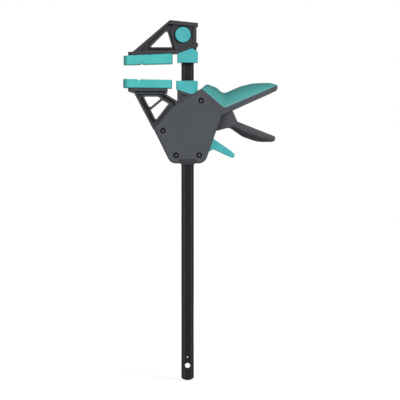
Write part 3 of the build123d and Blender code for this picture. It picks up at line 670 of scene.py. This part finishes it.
padShape = {
    "tipRadius": 8.0,              # in plan, as is the next
    "rootRadius": 3.0,
    "rounding": 1.3,
    "flareDepth": 0.6,             # of the mark, as are the next three
    "flareRise": 5.0,              # how far it reaches from the face
    "flareTaper": 0.4,             # the share of its width that it loses on the way
    "edge": 0.5,                   # how softly it ends
    "line": 0.9,                   # width of the painted shade line round the mark
    "ends": (8.0, 3.0),            # how far the painted shade reaches in from the tip and the root
    "coarse": 1.5,                 # distance between stations
    "fine": 0.35,                  # the same round the mark
    "beside": 9,                   # how far the fine ones reach on both sides of the mark's middle
    "rootStart": 4,                # how far from the root the coarse ones end
    "cornerShrink": 0.7,           # the share of the inset that the section's corners lose in radius
    "leastCorner": 0.3,
    "steps": {"edge": 9, "tip": 14, "root": 6, "side": 19, "face": 7, "corner": 6},
}
pads = {                           # face and plate: lines in X and Z; notch: X of its middle, width and depth
    "upper_pad": {"name": "upper_pad_rubber", "face": ((-108.6, 510.4), (-25.5, 512.5)),
                  "plate": ((-101.0, 526.1), (-19.0, 529.5)), "notch": (-78.0, 4.8, 1.7)},
    "lower_pad": {"name": "lower_pad_rubber", "face": ((-109.3, 486.6), (-26.4, 484.7)),
                  "plate": ((-101.0, 471.67), (-34.0, 470.7)), "notch": (-82.0, 6.6, 2.2)},
}


def heightOf(line, x):
    # Z at an X on a line
    (x0, z0), (x1, z1) = line
    return z0 + (z1 - z0) * (x - x0) / (x1 - x0)


def makePad(node, look):
    # sections across the pad at stations along X: a rounded oblong, narrowed by the tip's and the root's arcs
    # in plan, inset by a quarter round at both ends, with a V across the face and a flared mark beside it
    (left, front, _), (right, _, _) = nodeBox(node)
    rounding, tipRadius, rootRadius = padShape["rounding"], padShape["tipRadius"], padShape["rootRadius"]
    middle, width, depth = look["notch"]
    coarse, beside, steps = padShape["coarse"], padShape["beside"], padShape["steps"]
    quarter = rounding * (1 - np.cos(np.linspace(0, np.pi / 2, steps["edge"])))
    station = np.unique(np.concatenate((
        left + quarter, np.linspace(left + rounding, left + tipRadius, steps["tip"]),
        np.arange(left + tipRadius, middle - beside, coarse),
        np.arange(middle - beside, middle + beside, padShape["fine"]),
        np.arange(middle + beside, right - padShape["rootStart"], coarse),
        np.linspace(right - rootRadius, right - rounding, steps["root"]),
        right - quarter)).round(4))[:, None]
    inset = bulge(station - left, rounding) + bulge(right - station, rounding)
    half = -front - bulge(station - left, tipRadius) - bulge(right - station, rootRadius)
    half = half - inset
    face, plate = heightOf(look["face"], station), heightOf(look["plate"], station)
    inward = np.sign(plate - face)
    valley = inward * depth * np.clip(1 - np.abs(station - middle) / (width / 2), 0, 1)
    low = np.minimum(face + valley, plate) + inset
    high = np.maximum(face + valley, plate) - inset

    # the ring's columns: which side (-1 to 1), how high (0 to 1) and the corner arc's direction
    up, across = np.linspace(0, 1, steps["side"])[1:-1], np.linspace(-1, 1, steps["face"])[1:-1]
    turn = np.linspace(0, np.pi / 2, steps["corner"])
    arcs = [(sign, rise, start - turn) for sign, rise, start in
            ((-1, 1, np.pi), (1, 1, np.pi / 2), (1, 0, 0), (-1, 0, -np.pi / 2))]
    sides = ((-1 + 0 * up, up, -1 + 0 * up, 0 * up),
             (across, 1 + 0 * across, 0 * across, 1 + 0 * across),
             (1 + 0 * up, up[::-1], 1 + 0 * up, 0 * up),
             (across[::-1], 0 * across, 0 * across, -1 + 0 * across))
    columns = []
    for side, (sign, rise, angle) in zip(sides, arcs):
        arc = (sign + 0 * angle, rise + 0 * angle, np.cos(angle), np.sin(angle))
        columns += [np.array(side), np.array(arc)]
    side, rise, outY, outZ = np.hstack(columns)
    corner = np.maximum(rounding - padShape["cornerShrink"] * inset, padShape["leastCorner"])
    y = side * (half - corner) + corner * outY
    z = low + corner + rise * (high - low - 2 * corner) + corner * outZ

    # the flared mark: widest at the face, full depth inside and eased at its edges
    away = np.abs(z - face)
    reach = width * (1 - padShape["flareTaper"] * away / padShape["flareRise"])
    mark = ease((reach - np.abs(station - middle)) / padShape["edge"]) * ease(
        (padShape["flareRise"] - away) / padShape["edge"])
    y = y - side * padShape["flareDepth"] * mark * np.abs(outY) * (np.abs(side) == 1)
    points = np.stack(np.broadcast_arrays(station, y, z), -1)
    piece = makePiece(look["name"], [ringShell(points)], (node,), "padRubber")
    # shares for the painted shade at both ends and for the painted shade line round the mark
    tip, root = padShape["ends"]
    setShare(piece, "end", np.maximum(1 - (station - left) / tip, 1 - (right - station) / root) + 0 * z)
    outline = ease(1 - np.abs(reach - np.abs(station - middle)) / padShape["line"])
    setShare(piece, "mark", outline * ease((padShape["flareRise"] - away) / padShape["line"]))


for node, look in pads.items():
    makePad(node, look)
print("stage: pads", len(pads))

# jaw button and its shank

buttonShape = {
    "centre": (-7.8, 561.4),
    "shankCentre": (-17.0, 561.9),
    "shankRadius": 2.5,
    "shankChamfer": 0.4,
    "sunk": 0.5,                   # how deep the shank starts inside the disc
    "middle": 0.3,                 # radius of the innermost ring
    "dish": 0.5,
    "dishRadius": 10.6,
    "rim": 1.1,
    "back": 0.3,
    "thickness": 3.8,
    "gap": 0.5,                    # how much smaller the disc's radius is than in the CAD
    "steps": (10, 7),              # points of the dish and of the rim
}


def makeButton():
    # a disc with a quarter-round rim and a shallow dish: depth falls off as the square of the radius
    (left, front, _), (right, end, _) = nodeBox("jaw_button")
    radius, back = (right - left) / 2 - buttonShape["gap"], front + buttonShape["thickness"]
    rim, dish = buttonShape["rim"], buttonShape["dish"]
    dishSteps, rimSteps = buttonShape["steps"]
    inner = np.linspace(buttonShape["middle"], buttonShape["dishRadius"], dishSteps)
    profile = list(zip(inner, front + dish * (1 - (inner / buttonShape["dishRadius"]) ** 2)))
    angle = np.linspace(0, np.pi / 2, rimSteps)
    profile += list(zip(radius - rim + rim * np.sin(angle), front + rim * (1 - np.cos(angle))))
    chamfer = buttonShape["back"]
    profile += [(radius, back - chamfer), (radius - chamfer, back), (buttonShape["middle"], back)]
    shank, chamfer = buttonShape["shankRadius"], buttonShape["shankChamfer"]
    stem = [(shank, back - buttonShape["sunk"]), (shank, end - chamfer), (shank - chamfer, end)]
    makePiece("jaw_button_moulding", [
        turnedShell(profile, buttonShape["centre"], count=120),
        turnedShell(stem, buttonShape["shankCentre"], count=40),
    ], ("jaw_button",), "tealPlastic")


makeButton()
print("stage: button")

# soft grips

gripShape = {
    "top": ((23.4, 470.3), (32.6, 478.8), (50.4, 471.6), (58.6, 463.4), (66.0, 463.9), (89.0, 474.3),
            (112.0, 479.8), (140.0, 480.5), (152.8, 476.6), (152.7, 475.9)),
    "topRadii": (0, 6, 9, 10, 10, 50, 60, 30, 3.0, 0),
    "seam": ((23.5, 470.0), (62.6, 436.9), (152.6, 475.7)),
    "seamRadii": (0, 7, 0),
    "topKnots": (23.4, 31.0, 50.4, 58.6, 66.0, 89.0, 112.0, 140.0, 152.8),
    "seamKnots": (23.5, 31.5, 47.0, 57.0, 66.5, 93.0, 115.0, 141.0, 152.6),
    "halfDepth": 15.0,
    "skin": 2.4,
    "crown": 3.0,                  # exponent of the section: 2 would be an ellipse
    "edge": 0.8,
    "inset": 0.2,                  # between the skin and the handle's full half depth
    "edgeShare": 0.3,              # the most of a rung's length that the edge takes
    "skinShare": 0.2,              # the least of it that lies inside the skin
    "rungs": 150,
    "crowding": 0.105,             # how far the rungs are drawn to both ends of the grip
    "steps": (5, 26, 10),          # points of a section's edge, outside and inside
}


def makeGrip(node, name, side):
    # rungs from the seam up to the top; along each the depth falls as a superellipse,
    # |rise|^p + |depth|^p = 1, and an inner path closes the skin
    top = roundedPath(gripShape["top"], gripShape["topRadii"], closed=False, steps=12)
    seam = roundedPath(gripShape["seam"], gripShape["seamRadii"], closed=False, steps=12)
    share = np.linspace(0, 1, gripShape["rungs"])
    share -= gripShape["crowding"] * np.sin(2 * np.pi * share)
    high = alongPath(top, np.clip(share, 0, 1))
    lowX = np.interp(high[:, 0], gripShape["topKnots"], gripShape["seamKnots"])
    low = np.stack((lowX, np.interp(lowX, seam[:, 0], seam[:, 1])), -1)
    rung = high - low
    length = np.linalg.norm(rung, axis=1)[:, None]
    half, skin, crown = gripShape["halfDepth"], gripShape["skin"], gripShape["crown"]
    edgeSteps, outSteps, inSteps = gripShape["steps"]
    outerHalf = half - gripShape["inset"]
    edge = np.minimum(gripShape["edge"], gripShape["edgeShare"] * length)
    turn = np.linspace(0, np.pi / 2, edgeSteps)
    edgeRise, edgeDepth = edge * (1 - np.sin(turn)), outerHalf - edge * (1 - np.cos(turn))
    angle = np.linspace(0, np.pi / 2, outSteps)[1:]
    start = edge / length
    outRise = (start + (1 - start) * power(np.sin(angle), 2 / crown)) * length
    outDepth = outerHalf * power(np.cos(angle), 2 / crown)
    innerAngle = np.linspace(np.pi / 2, 0, inSteps)
    inRise = np.maximum(length - skin, gripShape["skinShare"] * length) * power(np.sin(innerAngle), 2 / crown)
    inDepth = (half - skin) * power(np.cos(innerAngle), 2 / crown)
    rise = np.hstack((edgeRise[:, ::-1], outRise, inRise))
    depth = np.hstack((edgeDepth[:, ::-1], outDepth + 0 * length, inDepth + 0 * length))
    place = low[:, None] + rung[:, None] * (rise / length)[:, :, None]
    points = np.stack((place[..., 0], side * depth, place[..., 1]), -1)
    piece = makePiece(name, [ringShell(points)], (node,), "gripRubber", sharp=50)
    # the rise, from seam to top, places the painted highlight near the seam and the painted shade towards the
    # crown
    setShare(piece, "rise", rise / length)


makeGrip("grip_front", "grip_front_rubber", -1)
makeGrip("grip_rear", "grip_rear_rubber", 1)
print("stage: grips")

# trigger

triggerShape = {
    "pivot": (34.7, 432.5),
    "web": ((76.3, 433.8), (84.8, 414.4), (81.5, 409.5), (69.5, 404.1), (49.6, 398.8),
            (40.0, 404.0), (28.4, 424.0), (34.7, 438.5), (37.7, 440.0)),
    "webRadii": (2, 3, 2, 3, 2, 2, 2, 2, 2),
    "webHalf": 9.0,
    "webRounding": 1.5,
    "top": ((79.5, 416.8), (149.6, 388.9), (148.95, 385.4)),
    "topRadii": (0, 3.4, 0),
    "low": ((62.0, 402.3), (70.6, 404.4), (93.0, 388.6), (119.0, 379.6), (144.2, 379.8), (148.2, 382.0),
            (148.9, 384.9)),
    "lowRadii": (0, 12, 40, 60, 3, 2, 0),
    "half": (8.9, 11.0),           # at the web and over the rest
    "spread": 0.3,                 # the share of the length that this change takes
    "tipPlan": 6.0,                # radius of the lever's end in plan
    "ridge": ((0, 0.2, 0.55, 1),   # shares of the length, and there of the way from the top to the underside
              (0.72, 0.58, 0.46, 0.66)),
    "rungs": 90,
    "crowding": 1.15,              # exponent that spaces the rungs, which are closest at the tip
    "around": 64,                  # points of a section
    "upper": 6.0,                  # exponents of the section's upper and lower halves, |y|^p + |z|^p = 1
    "lower": (1.3, 1.12),          # at the web and at the tip
    "hub": (3.05, 7.5, 0.3, 0.5),  # radii of bore and outside, and their chamfers
    "nose": ((19.2, 435.8), (34.7, 435.8)),
    "noseRadius": 3.5,
    "armHalf": 7.0,
    "armRounding": 0.5,
}


def fingerShell():
    # rungs between the top and the underside; each section is two half superellipses that meet at the ridge
    top = roundedPath(triggerShape["top"], triggerShape["topRadii"], closed=False, steps=10)
    low = roundedPath(triggerShape["low"], triggerShape["lowRadii"], closed=False, steps=14)
    share = np.sin(np.linspace(0, np.pi / 2, triggerShape["rungs"])) ** triggerShape["crowding"]
    high, under = alongPath(top, share), alongPath(low, share)
    split = np.interp(share, *triggerShape["ridge"])[:, None]
    ridge = high + (under - high) * split
    lengths = np.linalg.norm(np.diff(high, axis=0, append=high[-1:]), axis=1)
    toTip = lengths[::-1].cumsum()[::-1]
    narrow, wide = triggerShape["half"]
    half = (narrow + (wide - narrow) * ease(share / triggerShape["spread"])
            - bulge(toTip, triggerShape["tipPlan"]))[:, None]
    angle = np.linspace(0, 2 * np.pi, triggerShape["around"], endpoint=False)
    lowerExponent = np.interp(share, (0, 1), triggerShape["lower"])[:, None]
    exponent = np.where(np.sin(angle) >= 0, triggerShape["upper"], lowerExponent)
    across = half * power(np.cos(angle), 2 / exponent)
    rise = power(np.sin(angle), 2 / exponent)[..., None]
    upward, downward = (high - ridge)[:, None], (under - ridge)[:, None]
    place = ridge[:, None] + np.where(rise >= 0, rise * upward, -rise * downward)
    return ringShell(np.stack((place[..., 0], across, place[..., 1]), -1)), -rise[..., 0]


def hubShell(hub, half, centre, count):
    # a bored hub: a ring's section with its four corners cut by the chamfers, turned about the centre
    bore, outer, lead, chamfer = hub
    profile = [(bore, -half + lead), (bore + lead, -half), (outer - chamfer, -half), (outer, -half + chamfer),
               (outer, half - chamfer), (outer - chamfer, half), (bore + lead, half), (bore, half - lead)]
    return turnedShell(profile, centre, closed=True, count=count)


def stadium(first, second, radius, steps=9):
    # closed path round two equal circles
    first, second = np.array(first, float), np.array(second, float)
    heading = np.arctan2(*(second - first)[::-1])
    angle = np.linspace(-np.pi / 2, np.pi / 2, steps)[:, None]
    ends = [centre + radius * np.hstack((np.cos(angle + turn), np.sin(angle + turn)))
            for centre, turn in ((second, heading), (first, heading + np.pi))]
    return np.vstack(ends)


def makeTrigger():
    # the finger, the web's slab, the hub round the pivot and the slab of the arm that pushes the plates
    half, armHalf = triggerShape["webHalf"], triggerShape["armHalf"]
    web = roundedPath(triggerShape["web"], triggerShape["webRadii"])
    arm = stadium(*triggerShape["nose"], triggerShape["noseRadius"])
    finger, under = fingerShell()
    piece = makePiece("trigger_moulding", [
        finger,
        slabShell(web, -half, half, triggerShape["webRounding"]),
        hubShell(triggerShape["hub"], half, triggerShape["pivot"], count=60),
        slabShell(arm, -armHalf, armHalf, triggerShape["armRounding"]),
    ], ("trigger",), "triggerPlastic", sharp=34)
    # the underside's share, where the finger takes a painted shade
    setShare(piece, "under", under)


makeTrigger()
print("stage: trigger")

# release lever

releaseShape = {
    "pivot": (31.5, 380.0),
    "tab": ((31.5, 386.3), (42.8, 386.3), (74.4, 364.5), (80.6, 358.6), (78.4, 352.2), (70.0, 355.0),
            (47.0, 365.8), (42.6, 367.2), (36.6, 362.6), (31.5, 374.0)),
    "tabRadii": (2, 3, 14, 3, 3, 14, 4, 3, 2, 2),
    "half": 6.0,
    "rounding": 1.7,
    "hub": (2.05, 6.0, 0.2, 0.4),
    "nose": ((20.5, 384.0), (31.5, 383.0)),
    "noseRadius": 3.0,
    "noseHalf": 5.5,
    "noseRounding": 0.5,
}


def makeRelease():
    # the tab's slab, the hub round the pivot and the slab of the nose
    half, noseHalf = releaseShape["half"], releaseShape["noseHalf"]
    tab = roundedPath(releaseShape["tab"], releaseShape["tabRadii"])
    nose = stadium(*releaseShape["nose"], releaseShape["noseRadius"])
    makePiece("release_lever_moulding", [
        slabShell(tab, -half, half, releaseShape["rounding"], steps=6),
        hubShell(releaseShape["hub"], half, releaseShape["pivot"], count=48),
        slabShell(nose, -noseHalf, noseHalf, releaseShape["noseRounding"]),
    ], ("release_lever",), "tealPlastic", sharp=34)


makeRelease()
print("stage: release lever")

# housing screws

screwShape = {
    "seat": -11.0,                 # Y of the counterbore's floor
    "headRadius": 2.5,
    "headHeight": 2.2,
    "dome": 0.45,
    "rim": 0.5,
    "shank": 1.6,
    "tip": 11.0,
    "recess": 1.2,
    "arm": 1.8,                    # half length and half width of the cross, and how softly each ends
    "armHalf": 0.45,
    "armSoft": 0.15,
    "sideSoft": 0.1,
    "middle": 0.05,                # radius of the innermost ring
    "point": 0.5,
    "turns": (0.3, 1.1),           # how far the first cross is turned, and each next one more
    "steps": (22, 5, 96),          # points across the face, along the rim and round the screw
}


def screwShell(place, turn):
    # a turned pan head; its face sinks where a turned cross covers it, with softened sides
    radius, rim = screwShape["headRadius"], screwShape["rim"]
    shank, point = screwShape["shank"], screwShape["point"]
    front = screwShape["seat"] - screwShape["headHeight"]
    faceSteps, rimSteps, roundSteps = screwShape["steps"]
    inner = np.linspace(screwShape["middle"], radius - rim, faceSteps)
    angle = np.linspace(0, np.pi / 2, rimSteps)[1:]
    outer = radius - rim + rim * np.sin(angle)
    radii = np.concatenate((inner, outer, [radius, shank, shank, shank - point]))
    dome = front + screwShape["dome"] * (inner / radius) ** 2
    edge = dome[-1] + rim * (1 - np.cos(angle))
    seat, tip = screwShape["seat"], screwShape["tip"]
    depths = np.concatenate((dome, edge, [seat, seat, tip - point, tip]))
    around = np.linspace(0, 2 * np.pi, roundSteps, endpoint=False)
    reach = radii[:, None]
    across, upward = np.abs(reach * np.cos(around - turn)), np.abs(reach * np.sin(around - turn))
    long, short = np.maximum(across, upward), np.minimum(across, upward)
    cross = ease((screwShape["arm"] - long) / screwShape["armSoft"])
    cross = cross * ease((screwShape["armHalf"] - short) / screwShape["sideSoft"] + 0.5)
    cross[len(inner):] = 0
    x, z = place
    y = depths[:, None] + screwShape["recess"] * cross
    return ringShell(np.stack((x + reach * np.cos(around), y, z + reach * np.sin(around)), -1))


firstTurn, nextTurn = screwShape["turns"]
makePiece("housing_screws_heads",
          [screwShell(place, firstTurn + nextTurn * index) for index, place in enumerate(screwPlaces)],
          ("housing_screws",), "screwSteel", sharp=50)
print("stage: screws", len(screwPlaces))

# springs

springs = {                        # axis: 1 for Y, 2 for Z; keep: the share of the length left when pressed
    "drive_spring": {"name": "drive_spring_coil", "axis": 2, "wire": 1.5, "turns": 6.5,
                     "joint": "plate_advance", "keep": 0.79, "anchorLow": True},
    "brake_spring": {"name": "brake_spring_coil", "axis": 2, "wire": 0.8, "turns": 6.0,
                     "joint": "brake_swing", "keep": 0.8, "anchorLow": True},
    "button_spring": {"name": "button_spring_coil", "axis": 1, "wire": 0.7, "turns": 6.0,
                      "joint": "button_press", "keep": 0.5, "anchorLow": False},
}
coil = {"flatTurns": 0.75, "pointsPerTurn": 28, "pointsRoundWire": 10}


def makeSpring(node, look):
    # a round wire along a helix whose end turns lie flat: the rise is held for part of a turn at each end
    low, high = nodeBox(node)
    axis, wire, turns = look["axis"], look["wire"] / 2, look["turns"]
    others = [index for index in range(3) if index != axis]
    centre = (low + high) / 2
    radius = (high - low)[others].min() / 2 - wire
    share = np.linspace(0, 1, int(turns * coil["pointsPerTurn"]))[:, None]
    hold = coil["flatTurns"] / turns
    climb = high[axis] - low[axis] - 2 * wire
    rise = low[axis] + wire + climb * np.clip((share - hold) / (1 - 2 * hold), 0, 1)
    around = 2 * np.pi * turns * share
    girth = np.linspace(0, 2 * np.pi, coil["pointsRoundWire"], endpoint=False)
    reach = radius + wire * np.cos(girth)
    points = np.empty((len(share), len(girth), 3))
    points[..., others[0]] = centre[others[0]] + reach * np.cos(around)
    points[..., others[1]] = centre[others[1]] + reach * np.sin(around)
    points[..., axis] = rise + wire * np.sin(girth)
    piece = makePiece(look["name"], [ringShell(points)], (node,), "springSteel")
    anchor = centre.copy()
    anchor[axis] = low[axis] if look["anchorLow"] else high[axis]
    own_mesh(piece)


for node, look in springs.items():
    makeSpring(node, look)
print("stage: springs", len(springs))
